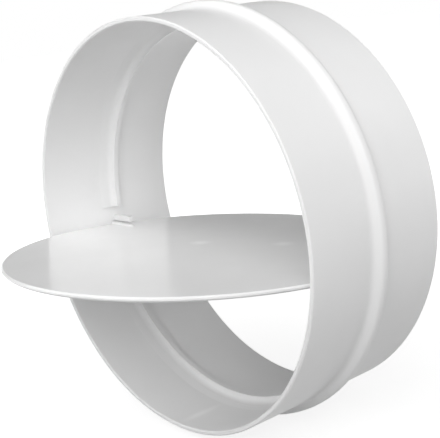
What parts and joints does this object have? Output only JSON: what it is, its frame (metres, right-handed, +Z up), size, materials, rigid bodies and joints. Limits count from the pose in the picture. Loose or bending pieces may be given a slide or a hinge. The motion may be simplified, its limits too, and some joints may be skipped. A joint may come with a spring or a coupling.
{
  "type": "duct connector with flap",
  "caption": "Round plastic duct connector: a sleeve with a spigot each side of a raised bead, and a round butterfly flap inside that turns on snap-in pins and shuts against half ribs.",
  "frame": {"origin": "centre of the bead that both ducts butt against, on the duct axis", "axes": "+Y along the duct axis towards the rear mouth, +Z up (the flap's pivot lies below the duct axis), +X along the flap's pivot axis"},
  "size_m": [0.1548, 0.1429, 0.1548],
  "materials": {
    "white_sleeve_plastic": "smooth moulded white plastic, semi-gloss",
    "white_flap_plastic": "smooth moulded white plastic, glossy"
  },
  "bodies": {
    "sleeve": {"sleeve": "white_sleeve_plastic"},
    "flap": {"flap": "white_flap_plastic"}
  },
  "joints": [
    {"name": "flap_pivot", "type": "hinge", "parent": "sleeve", "child": "flap", "pos_m": [0, 0, -0.01185], "axis": [1, 0, 0], "range_deg": [-85.9, 0]}
  ]
}
